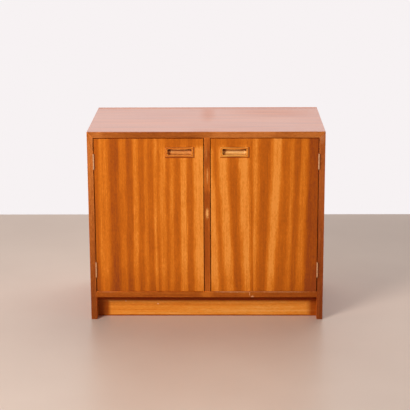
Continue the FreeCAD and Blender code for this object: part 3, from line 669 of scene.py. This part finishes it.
catch_plastic = moulded("catch_plastic", (82, 56, 38), (0.42, 0.58))
BODY_HALF, FLANGE = 0.014, 0.003
for side in ("left", "right"):
    node = f"{side}_catch_body"
    low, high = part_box(node)
    middle, flange = (low.x + high.x) / 2, high.z - FLANGE
    outline = [(low.x, high.z), (low.x, flange), (middle - BODY_HALF, flange), (middle - BODY_HALF, low.z),
               (middle + BODY_HALF, low.z), (middle + BODY_HALF, flange), (high.x, flange), (high.x, high.z)]
    shell = prism(outline, "y", low.y, high.y)
    ease(shell, 0.0008, lambda middle, edge: middle.z < high.z - TOUCH, 3)
    body = piece_of(f"{side}_catch_moulding", shell, [catch_plastic], "carcass", node)
    let_in(body, "catch_pole_plates", "catch_screws")
dress("catch_pole_plates", metal("pole_steel", (150, 150, 152), (112, 110, 108), (0.35, 0.55)))
screws("catch_fixing_screws", "catch_screws", small_screw, zinc, "carcass")


# ---- Butt hinges
# Two solid-drawn brass butts to each door, screwed on the surface so that both
# leaves fill the gap. Only the rolled knuckles show in front, their lacquer worn.
low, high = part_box("left_upper_frame_leaf")
HINGE = high.z - low.z
# The radii of a knuckle and of the pin, a leaf's thickness, the play between two leaves
# and between two knuckles, and a leaf's width, in metres.
KNUCKLE, PIN, LEAF, APART, BETWEEN, LEAF_WIDTH = 0.0025, 0.00125, 0.0012, 0.0001, 0.0002, 0.020
SEAM = 5  # degrees that a knuckle stops short of its own leaf
ROLL = (HINGE - 2 * BETWEEN) / 3
PITCH = ROLL + BETWEEN
near_face, far_face = APART / 2, APART / 2 + LEAF
brass = metal("hinge_brass", (228, 182, 136), (206, 156, 114), (0.3, 0.48))


def arc(x, z, radius, start, end, steps):
    """The points of an arc about a middle, from one angle in degrees to another."""
    turns = [math.radians(start + (end - start) * step / steps) for step in range(steps + 1)]
    return [(x + radius * math.cos(turn), z + radius * math.sin(turn)) for turn in turns]


def rolled_outline(bore, steps=24):
    """A knuckle seen from above: the leaf curls round the pin and ends just short of itself."""
    root, stop = KNUCKLE + 0.0016, SEAM - 270
    outside = arc(0, 0, KNUCKLE, math.degrees(math.acos(far_face / KNUCKLE)), stop, steps)
    inside = arc(0, 0, bore, stop, math.degrees(math.acos(near_face / bore)), steps)
    return [(far_face, root), *outside, *inside, (near_face, root)]


def butt_leaf(name, knuckles, bore):
    """A leaf about its pin: a plate and its rolled knuckles, given by their lower ends."""
    shell = block((near_face, KNUCKLE + 0.0004, -HINGE / 2), (far_face, LEAF_WIDTH, HINGE / 2))
    ease(shell, 0.00025)
    plate = loose(name, shell)
    rolls = [loose(name + "_roll", prism(rolled_outline(bore), "z", bottom, bottom + ROLL))
             for bottom in knuckles]
    let_in(plate, *rolls, operation="UNION")
    discard(*rolls)
    return plate


patterns = {"frame": butt_leaf("frame_leaf", (-HINGE / 2, -HINGE / 2 + 2 * PITCH), PIN),
            "door": butt_leaf("door_leaf", (-HINGE / 2 + PITCH,), PIN + 0.00005)}
for side in ("left", "right"):
    low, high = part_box(f"{side}_hinge_pins")
    pin_x, pin_y = (low.x + high.x) / 2, (low.y + high.y) / 2
    pin = loose("pin", lathe([(0, 0.0001), (PIN - 0.0003, 0.0001), (PIN, 0.0003), (PIN, HINGE - 0.0003),
                              (PIN - 0.0003, HINGE - 0.0001), (0, HINGE - 0.0001)], 32))
    shell = bmesh.new()
    for bottom in (low.z, high.z - HINGE):
        add_copy(shell, pin.data, Matrix.Translation((pin_x, pin_y, bottom)))
    discard(pin)
    piece_of(f"{side}_pins", shell, [brass], "carcass", f"{side}_hinge_pins")
    for level in ("lower", "upper"):
        for carrier in ("frame", "door"):
            node = f"{side}_{level}_{carrier}_leaf"
            low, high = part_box(node)
            flipped = (side == "left") == (carrier == "frame")
            turned = Matrix.Rotation(math.pi if flipped else 0, 4, "Y")
            shell = bmesh.new()
            shell.from_mesh(patterns[carrier].data)
            shell.transform(Matrix.Translation((pin_x, pin_y, (low.z + high.z) / 2)) @ turned)
            body, fixed_by = (("carcass", "frame_leaf_screws") if carrier == "frame"
                              else (f"{side}_door", f"{side}_door_leaf_screws"))
            leaf = piece_of(node + "_brass", shell, [brass], body, node)
            sink(leaf, SMALL_SCREW, [placed(*head) for head in heads_of(fixed_by)
                                     if low.z < head[0].z < high.z and abs(head[0].x - pin_x) < LEAF_WIDTH])
discard(*patterns.values())
screws("frame_leaf_fixing_screws", "frame_leaf_screws", small_screw, brass, "carcass")


# ---- Doors
# Board lipped all round in solid wood and then faced, so that the ribbon-striped
# veneer of the front runs over the lippings to the very edge. The leaves of veneer
# were laid side by side: straight stripes on the left, a fan of them on the right.
DOOR_TONES = [(0.0, (150, 66, 16)), (0.2, (174, 83, 8)), (0.5, (200, 102, 11)), (0.75, (221, 121, 25)),
              (0.92, (238, 142, 48)), (1.0, (246, 154, 62))]
# Ribbons by their middle from the door's left edge and half their width in mm, and the
# tone. A ribbon wider than NARROW keeps its tone over the middle half.
NARROW = 7
LEFT_RIBBONS = [(0, 8, 0.3), (30, 18, 0.7), (64, 14, 0.2), (91, 8, 0.6), (113, 8, 0.28), (132, 8, 0.76),
                (150, 9, 0.42), (165, 6, 0.72), (182, 8, 0.44), (197, 3, 0.84), (206, 4, 0.5), (218, 9, 0.8),
                (235, 7, 0.48), (248, 7, 0.78), (264, 9, 0.43), (288, 9, 0.94), (309, 10, 0.46), (326, 6, 0.93),
                (335, 3, 1.0), (345, 4, 1.0)]
RIGHT_RIBBONS = [(-6, 26, 1.0), (22, 6, 0.5), (46, 12, 0.96), (76, 12, 0.4), (111, 13, 1.0), (131, 5, 0.48),
                 (142, 4, 0.88), (171, 15, 0.38), (206, 10, 1.0), (237, 13, 0.46), (259, 7, 0.74),
                 (275, 8, 0.36), (294, 8, 0.7), (330, 19, 0.1)]
# How far the right door's ribbons lean by the foot, by the place from its left edge, in mm.
LEAN = [(0, 20), (60, 26), (111, 16), (131, 4), (142, -5), (215, -27), (259, -16), (345, -8)]
# The lean is kept as a share of a range in mm. It grows towards the foot by a power of the
# way down from the head, and starts from none where that power is the resting share.
LEAN_RANGE, LEAN_POWER, LEAN_REST = 60, 1.25, 0.36
# The ribbons' width in metres, what of it lies left of the door, and how far they wander.
SPAN, MARGIN, WANDER, RAGGED = 0.4, 0.02, 0.008, 0.009
# The pull's face by its half sizes in metres, how far right and below it the painted
# shadow of its proud face lies, and the shadow's spread.
PULL_WIDE, PULL_TALL, SHADOW_RIGHT, SHADOW_BELOW = 0.0442, 0.0149, 0.0014, 0.0016
PULL_SHADOW = (0.0034, 0.0018, 0.0, 0.85)
# Hands reach this share of the pull's way from the middle of the cabinet, beside and above
# it by these spans, and dull the veneer to one tone.
HANDS_PLACE, HANDS_BESIDE, HANDS_ABOVE, DULL = 0.8, (0.085, 0.055, 0.0, 0.75), (0.008, 0.026), 0.45
(_, door_front, door_foot), (_, door_rear, door_head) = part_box("left_door_panel")
size_of, to_power, beyond = (sums(kind) for kind in ("ABSOLUTE", "POWER", "GREATER_THAN"))


def leant(place, height, left, lean):
    """The place across a door, drawn to where the ribbon there stands at the head."""
    stops = [(mm / 1000 / SPAN, 0.5 + far / LEAN_RANGE) for mm, far in lean]
    pull = ramp(spread(place, left, left + SPAN), stops, "EASE")
    drop = to_power(spread(height, door_head, door_foot), LEAN_POWER)
    shift = stir(pull, minus(drop, LEAN_REST))
    return times_plus(shift, -LEAN_RANGE / 1000, place)


def hand_dulled_and_shadowed(level, parts, pull_middle):
    """Hands have dulled the ribbons above the pull, and a painted shadow of its proud face
    darkens a line round it, mostly to its right and below it."""
    hands = spread(size_of(minus(parts["X"], pull_middle.x * HANDS_PLACE)), *HANDS_BESIDE)
    hands = times(hands, spread(parts["Z"], *(pull_middle.z + rise for rise in HANDS_ABOVE)))
    level = times_plus(hands, minus(DULL, level), level)
    aside = size_of(minus(parts["X"], pull_middle.x + SHADOW_RIGHT))
    above = size_of(minus(parts["Z"], pull_middle.z - SHADOW_BELOW))
    clear = larger(minus(aside, PULL_WIDE), minus(above, PULL_TALL))
    return minus(level, spread(clear, *PULL_SHADOW))


def ribboned(left, ribbons, lean, seed, pull_middle):
    """The tone across a door's face: its own run of ribbons in front and a plainer leaf
    behind. A lean draws the ribbons together towards the foot."""
    stops = []
    for middle, half, level in ribbons:
        for mm in (middle - half * 0.5, middle + half * 0.5) if half > NARROW else (middle,):
            stops.append((min(1, max(0, (mm / 1000 + MARGIN) / SPAN)), level))

    def tone(spot):
        parts = parts_of(spot)
        place = stir(streaks(spot, "z", 0.05, 0.35, 1.0, seed), WANDER, parts["X"])
        place = stir(streaks(spot, "z", 0.006, 0.12, 2.0, seed + 1), RAGGED, place)
        if lean:
            place = leant(place, parts["Z"], left, lean)
        faced = ramp(spread(place, left - MARGIN, left - MARGIN + SPAN), stops, "EASE")
        faced = stir(streaks(spot, "z", 0.035, 0.1, 2.0, seed + 2), 0.3, faced)
        faced = minus(faced, spread(parts["Z"], 0.19, door_foot, 0.0, 0.16))
        faced = hand_dulled_and_shadowed(faced, parts, pull_middle)
        plain = spread(streaks(spot, "z", 0.03, 1.2, 2.0, seed + 7), 0.3, 0.7)
        behind = beyond(parts["Y"], door_rear - 0.002)
        return add("Mix", {0: behind, 2: faced, 3: plain}).outputs[0]
    return tone


for side, ribbons, lean, seed in (("left", LEFT_RIBBONS, None, 91.0), ("right", RIGHT_RIBBONS, LEAN, 97.0)):
    edges = {edge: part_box(f"{side}_door_{edge}_lipping") for edge in ("hinge", "meeting", "bottom", "top")}
    left = min(low.x for low, high in edges.values())
    right = max(high.x for low, high in edges.values())
    foot, head = edges["bottom"][0].z, edges["top"][1].z

    def at_rim(middle, edge):
        """Whether an edge runs round the rim of a face of the door or through its corner."""
        aside = min(abs(middle.x - left), abs(middle.x - right)) < TOUCH
        above = min(abs(middle.z - foot), abs(middle.z - head)) < TOUCH
        through = abs(edge.verts[0].co.y - edge.verts[1].co.y) > TOUCH
        return aside and above if through else aside or above

    pull_low, pull_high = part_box(f"{side}_pull")
    face_tone = ribboned(left, ribbons, lean, seed, (pull_low + pull_high) / 2)
    veneer = wood(f"{side}_door_veneer", "z", DOOR_TONES, face_tone, seed, 0.55, (0.34, 0.46), 1.24)
    dress(f"{side}_door_panel", veneer)
    for edge, corners in edges.items():
        along = "z" if edge in ("hinge", "meeting") else "x"
        solid = wood(f"{side}_{edge}_edge_wood", along, EDGE_TONES, seed=seed + 3, **UNPOLISHED)
        shell = block(*corners)
        for face in shell.faces:
            face.material_index = 0 if abs(face.normal.y) > 0.9 else 1
        ease(shell, 0.0007, at_rim, 3)
        piece_of(f"{side}_door_{edge}_strip", shell, [veneer, solid], f"{side}_door",
                 f"{side}_door_{edge}_lipping")
    screws(f"{side}_door_leaf_fixing_screws", f"{side}_door_leaf_screws", small_screw, brass, f"{side}_door")


# ---- Let-in pulls
# A block of the solid wood let into each door near the meeting edge. Its face stands
# a little proud, with hollow sides and rubbed corners; a scooped cup runs up behind a
# lip that dips in the middle, so that the fingertips hook over it.
PULL_TONES = {"left": even((174, 80, 8), (198, 100, 15), (220, 124, 34)),
              "right": even((196, 100, 15), (222, 126, 33), (242, 152, 57))}
# The cup's tones reach down to near black for the painted shade under the lip and up to a pale for its floor,
# partly worn and partly painted light.
CUP_TONES = {"left": [(0.0, (74, 28, 5)), (0.4, (180, 90, 28)), (0.7, (236, 150, 72)), (1.0, (252, 180, 98))],
             "right": [(0.0, (68, 26, 5)), (0.4, (200, 112, 40)), (0.7, (255, 188, 102)), (1.0, (255, 208, 142))]}
# The pull in mm: how far its face stands proud, the rounds of its face and lip, the depth
# of the tenon and the cup, how far the cup's floor rises and its ends slope, the lip's
# thickness, the undercut behind it, over what depth that grows, and the lip's dip.
PROUD, FACE_ROUND, LIP_ROUND, TENON_DEEP, CUP_DEEP = 2.5, 1.0, 0.8, 14.4, 13.2
SCOOP_RISE, END_SLOPE, LIP_THICK, UNDERCUT, UNDERCUT_RUN, DIP = 13.0, 7.0, 3.2, 1.3, 2.4, 2.6
FACE = dict(half=45.0, low=-15.5, high=15.5, low_bend=2.4, high_bend=2.4, bow=1.2, nip=0.6)
MOUTH = dict(half=38.5, low=-10.5, high=10.5, low_bend=7.0, high_bend=3.5, dip=DIP)
TENON = dict(half=42.0, low=-13.5, high=13.5, low_bend=4.0, high_bend=4.0)
# Past this share of the floor's rise the ceiling comes down too, at this rate in mm, and
# a bend takes up no more than that share of the cup's height.
FALL_FROM, CEILING_FALL, MOST_BEND = 0.45, 2.2, 0.45
FLAT = 0.3  # the narrow flat beside each of the two rounds
CORNER_STEPS, ROUND_STEPS, CUP_STEPS, SIDE_STEPS = 6, 4, 12, (8, 24, 8, 24)


def ring(shell, y, half, low, high, low_bend, high_bend, bow=0.0, nip=0.0, dip=0.0):
    """A closed line round a rounded rectangle: its long sides bow in, its short sides
    nip in and its upper side dips, all by a share that fades towards the corners."""
    corners = [(half - low_bend, low + low_bend, low_bend, 270),
               (half - high_bend, high - high_bend, high_bend, 0),
               (high_bend - half, high - high_bend, high_bend, 90),
               (low_bend - half, low + low_bend, low_bend, 180)]
    arcs = [arc(x, z, bend, start, start + 90, CORNER_STEPS) for x, z, bend, start in corners]
    points = []
    for before, after, count in zip(arcs, arcs[1:] + arcs[:1], SIDE_STEPS):
        points += before
        for share in (step / count for step in range(1, count)):
            points.append(tuple(a + (b - a) * share for a, b in zip(before[-1], after[0])))
    middle, tall = (low + high) / 2, (high - low) / 2
    line = []
    for x, z in points:
        over = (z - middle) / tall
        z -= (bow + (dip if over > 0 else 0)) * over * (1 - (x / half) ** 2)
        x -= nip * (x / half) * (1 - over ** 2)
        line.append(shell.verts.new((x, y, z)))
    return line


def grown(shape, by):
    """A rounded rectangle's sizes grown outward all round."""
    changed = dict(shape, half=shape["half"] + by, low=shape["low"] - by, high=shape["high"] + by)
    for bend in ("low_bend", "high_bend"):
        changed[bend] = max(FLAT, shape[bend] + by)
    return changed


def cup_wear_and_painted_light(middle, seed):
    """The tone inside a cup: pale on its floor, partly where the fingertips rub it and partly as
    painted light, with painted shade under the lip and in the ends, and darker low in front."""
    def tone(spot):
        parts = parts_of(spot)
        level = times_plus(broad_bands("x", seed)(spot), 0.25, 0.68)
        height = minus(parts["Z"], middle.z)
        aside = minus(parts["X"], middle.x)
        for place, clear, full, strength in ((height, 0.0, 0.0055, 0.6), (height, -0.0046, -0.0078, 0.28),
                                             (aside, -0.0265, -0.032, 0.22), (aside, 0.032, 0.037, 0.2)):
            level = minus(level, spread(place, clear, full, 0.0, strength))
        return level
    return tone


def pull_mesh():
    """The whole pull in millimetres about the middle of its face on the door's plane."""
    shell = bmesh.new()
    lines = [ring(shell, TENON_DEEP, **TENON), ring(shell, 0.0, **TENON), ring(shell, 0.0, **FACE)]
    quarter = [math.radians(90 / ROUND_STEPS * step) for step in range(ROUND_STEPS + 1)]
    face_arris = len(lines)
    for turn in quarter:
        lines.append(ring(shell, -PROUD + FACE_ROUND * (1 - math.sin(turn)),
                          **grown(FACE, -FACE_ROUND * (1 - math.cos(turn)))))
    lines.append(ring(shell, -PROUD, **grown(FACE, -FACE_ROUND - FLAT)))
    lip_arris = len(lines)
    lines.append(ring(shell, -PROUD, **grown(MOUTH, LIP_ROUND + FLAT)))
    for turn in quarter:
        lines.append(ring(shell, -PROUD + LIP_ROUND * (1 - math.cos(turn)),
                          **grown(MOUTH, LIP_ROUND * (1 - math.sin(turn)))))
    cup = len(lines) - 2
    for step in range(1, CUP_STEPS + 1):
        turn = math.radians(90 * step / CUP_STEPS)
        y = -PROUD + LIP_ROUND + CUP_DEEP * math.sin(turn)
        rise = 1 - math.cos(turn)
        behind = min(1.0, max(0.0, (y + PROUD - LIP_THICK) / UNDERCUT_RUN))
        behind = behind * behind * (3 - 2 * behind)
        ceiling = MOUTH["high"] + UNDERCUT * behind - CEILING_FALL * max(0.0, rise - FALL_FROM)
        floor = MOUTH["low"] + SCOOP_RISE * rise
        most = (ceiling - floor) * MOST_BEND
        low_bend, high_bend = min(MOUTH["low_bend"], most), min(MOUTH["high_bend"] + 1.5 * behind, most)
        lines.append(ring(shell, y, MOUTH["half"] - END_SLOPE * rise, floor, ceiling, low_bend, high_bend,
                          dip=DIP * (1 - behind)))
    for level, (outer, inner) in enumerate(zip(lines, lines[1:])):
        rounded_arris = face_arris <= level < face_arris + ROUND_STEPS or lip_arris <= level < cup
        for number in range(len(outer)):
            after = (number + 1) % len(outer)
            face = shell.faces.new((outer[number], outer[after], inner[after], inner[number]))
            face.material_index = 2 if level >= cup else int(rounded_arris)
    shell.faces.new(lines[0])
    shell.faces.new(lines[-1]).material_index = 2
    smooth(shell, math.radians(40))
    return shell


for side, seed in (("left", 103.0), ("right", 109.0)):
    low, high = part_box(f"{side}_pull")
    middle = Vector(((low.x + high.x) / 2, door_front, (low.z + high.z) / 2))
    shell = pull_mesh()
    shell.transform(Matrix.Translation(middle) @ Matrix.Scale(0.001, 4))
    tones = PULL_TONES[side]
    # The arris tones are paler, partly from wear and partly as a painted highlight.
    finishes = [wood(f"{side}_pull_{part}", "x", shades, None, seed, 0.8, (0.28, 0.4))
                for part, shades in (("wood", tones), ("arris", paler(tones, 1.08, 42)))]
    finishes.append(wood(f"{side}_pull_cup", "x", CUP_TONES[side], cup_wear_and_painted_light(middle, seed), seed, 0.5,
                         (0.45, 0.6)))
    piece_of(f"{side}_pull_block", shell, finishes, f"{side}_door", f"{side}_pull")


# ---- Strike plates
# A plate of plated steel with rounded corners inside each door, opposite its catch,
# held by one countersunk screw.
def rounded(low_x, high_x, low_z, high_z, bend):
    """The outline of a rectangle with rounded corners."""
    corners = ((high_x - bend, low_z + bend, 270), (high_x - bend, high_z - bend, 0),
               (low_x + bend, high_z - bend, 90), (low_x + bend, low_z + bend, 180))
    return [point for x, z, start in corners for point in arc(x, z, bend, start, start + 90, 5)]


strike_steel = metal("strike_steel", (196, 198, 198), (150, 148, 144), (0.28, 0.45))
for side in ("left", "right"):
    node, door = f"{side}_strike_plate", f"{side}_door"
    low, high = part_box(node)
    shell = prism(rounded(low.x, high.x, low.z, high.z, 0.0025), "y", low.y, high.y)
    ease(shell, 0.0002, lambda middle, edge: middle.y > high.y - TOUCH)
    plate = piece_of(f"{side}_strike", shell, [strike_steel], door, node)
    places = screws(f"{side}_strike_fixing_screw", f"{side}_strike_screw", small_screw, zinc, door)
    sink(plate, SMALL_SCREW, places)


# ---- Room
# A plain pale floor that ends behind the cabinet, and a white surround that is brighter
# behind. A large soft lamp stands high on the left in front, with a weaker one on the
# right and one overhead.
WHITE, LAMP_LIGHT = (247, 242, 243), (1.0, 0.98, 0.96)
FLOOR_HALF, FLOOR_BACK = 9, 1.12


def seen(tree):
    """Whether a ray shows something to the eye, straight on, mirrored or through glass."""
    rays = add("LightPath", {}, tree).outputs
    mirrored = larger(rays["Is Glossy Ray"], rays["Is Transmission Ray"])
    return larger(rays["Is Camera Ray"], mirrored)


floor_paint, shader, spot = blank("floor_paint")
tree = floor_paint.node_tree
patchy = spread(noise(spot, 1.6, 4.0), 0.35, 0.65)
fill(shader, {"Base Color": mix(patchy, colour(208, 185, 169), colour(215, 193, 177)), "Roughness": 0.38})
# Far from the cabinet it fades into the white.
away = add("VectorMath", {0: spot}, operation="LENGTH").outputs["Value"]
fade = add("MapRange", {"Value": away, "From Min": 1.5, "From Max": 3.4}, interpolation_type="SMOOTHSTEP")
far_off = add("Emission", {"Color": colour(*WHITE), "Strength": 1.0}, tree)
share = times(fade.outputs["Result"], seen(tree))
both = add("MixShader", {0: share, 1: shader.outputs[0], 2: far_off.outputs[0]})
fill(tree.nodes["Material Output"], {"Surface": both.outputs[0]})
shell = bmesh.new()
floor_corners = ((-1, -FLOOR_HALF), (1, -FLOOR_HALF), (1, FLOOR_BACK), (-1, FLOOR_BACK))
shell.faces.new([shell.verts.new((side * FLOOR_HALF, y, 0)) for side, y in floor_corners])
floor = loose("floor", shell)
floor.data.materials.append(floor_paint)

world = bpy.data.worlds.new("studio")
bpy.context.scene.world = world
world.use_nodes = True
tree = world.node_tree
lit = tree.nodes["Background"]
lit.inputs["Color"].default_value = colour(250, 248, 246)
behind = parts_of(add("TexCoord", {}, tree).outputs["Generated"])["Y"]
fill(lit, {"Strength": spread(behind, 0.0, 0.8, 0.1, 0.8)})
shown = add("Background", {"Color": colour(*WHITE), "Strength": 1.0}, tree)
both = add("MixShader", {0: seen(tree), 1: lit.outputs[0], 2: shown.outputs[0]})
fill(tree.nodes["World Output"], {"Surface": both.outputs[0]})


def soft_lamp(name, place, size, power):
    """A large square lamp with a diffuser, turned to face the middle of the cabinet."""
    lamp = bpy.data.lights.new(name, "AREA")
    lamp.shape, lamp.size, lamp.energy, lamp.color = "SQUARE", size, power, LAMP_LIGHT
    stand = put(name, lamp)
    stand.location = place
    stand.rotation_euler = (Vector((0, 0, 0.35)) - Vector(place)).to_track_quat("-Z", "Y").to_euler()


soft_lamp("front_lamp", (-2.4, -3.1, 2.45), 1.5, 150)
soft_lamp("fill_lamp", (3.4, -1.7, 1.9), 1.8, 14)
soft_lamp("overhead_lamp", (0.4, 1.3, 3.3), 2.0, 34)

# The camera stands in front of the cabinet, looks down on it and is turned by a hair.
EYE, TURNS = (0.06013, -4.40163, 1.48315), (-0.87905, 14.6355, -0.28083)
camera = bpy.data.cameras.new("camera")
camera.sensor_width = 36
camera.lens = 117.68
camera.clip_end = 60
yaw, pitch, roll = (math.radians(angle) for angle in TURNS)
turned = Matrix.Rotation(-yaw, 4, "Z") @ Matrix.Rotation(math.pi / 2 - pitch, 4, "X")
eye = put("camera", camera)
eye.matrix_world = Matrix.Translation(EYE) @ turned @ Matrix.Rotation(roll, 4, "Z")
bpy.context.scene.camera = eye
bpy.context.scene.view_settings.view_transform = "Standard"
